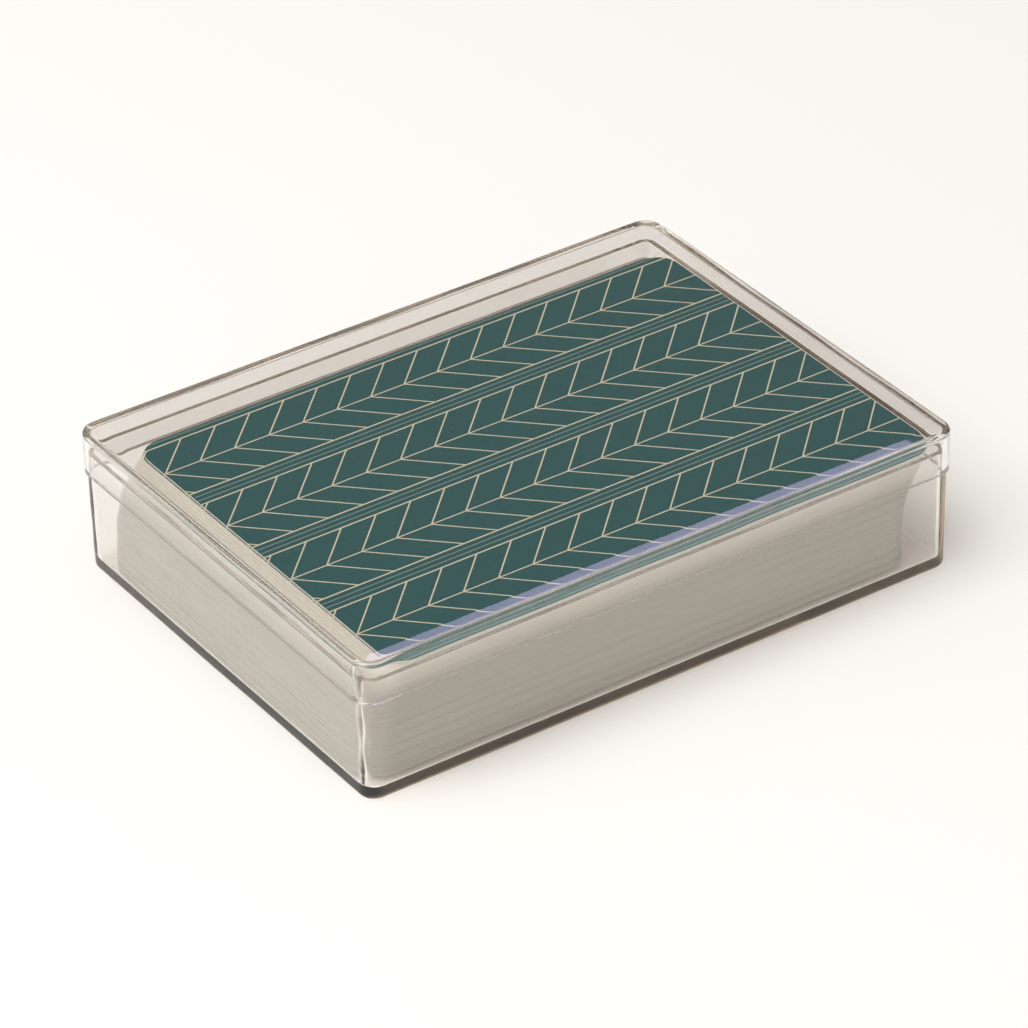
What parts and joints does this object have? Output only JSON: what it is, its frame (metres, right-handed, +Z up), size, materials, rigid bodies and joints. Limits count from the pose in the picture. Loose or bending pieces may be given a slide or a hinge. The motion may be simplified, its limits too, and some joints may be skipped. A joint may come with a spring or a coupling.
{
  "type": "playing card case",
  "caption": "Clear moulded two-piece case with a stepped tray and a lift-off lid, holding a full deck of loose playing cards.",
  "frame": {"origin": "middle of the tray's underside, on the surface that the case stands on", "axes": "+X along the case's length, +Y across its width, +Z up through the lid"},
  "size_m": [0.096, 0.0716, 0.022],
  "materials": {
    "clear_plastic": "clear, polished, injection moulded polystyrene with slight waves",
    "card_stock": "smooth coated card, cut edge warm grey",
    "card_back": "smooth coated card, dark teal print with pale gold lines"
  },
  "bodies": {
    "tray": {"tray": "clear_plastic"},
    "deck": {"card_01": "card_stock", "card_02": "card_stock", "card_03": "card_stock", "card_04": "card_stock", "card_05": "card_stock", "card_06": "card_stock", "card_07": "card_stock", "card_08": "card_stock", "card_09": "card_stock", "card_10": "card_stock", "card_11": "card_stock", "card_12": "card_stock", "card_13": "card_stock", "card_14": "card_stock", "card_15": "card_stock", "card_16": "card_stock", "card_17": "card_stock", "card_18": "card_stock", "card_19": "card_stock", "card_20": "card_stock", "card_21": "card_stock", "card_22": "card_stock", "card_23": "card_stock", "card_24": "card_stock", "card_25": "card_stock", "card_26": "card_stock", "card_27": "card_stock", "card_28": "card_stock", "card_29": "card_stock", "card_30": "card_stock", "card_31": "card_stock", "card_32": "card_stock", "card_33": "card_stock", "card_34": "card_stock", "card_35": "card_stock", "card_36": "card_stock", "card_37": "card_stock", "card_38": "card_stock", "card_39": "card_stock", "card_40": "card_stock", "card_41": "card_stock", "card_42": "card_stock", "card_43": "card_stock", "card_44": "card_stock", "card_45": "card_stock", "card_46": "card_stock", "card_47": "card_stock", "card_48": "card_stock", "card_49": "card_stock", "card_50": "card_stock", "card_51": "card_stock", "card_52": "card_stock", "card_53": "card_stock"},
    "top_card": {"card_54": "card_back"},
    "lid": {"lid": "clear_plastic"}
  },
  "joints": [
    {"name": "deck_lift", "type": "slide", "parent": "tray", "child": "deck", "axis": [0, 0, 1], "range_m": [0, 0.025]},
    {"name": "top_card_lift", "type": "slide", "parent": "deck", "child": "top_card", "axis": [0, 0, 1], "range_m": [0, 0.015]},
    {"name": "lid_lift", "type": "slide", "parent": "top_card", "child": "lid", "axis": [0, 0, 1], "range_m": [0, 0.03]}
  ]
}
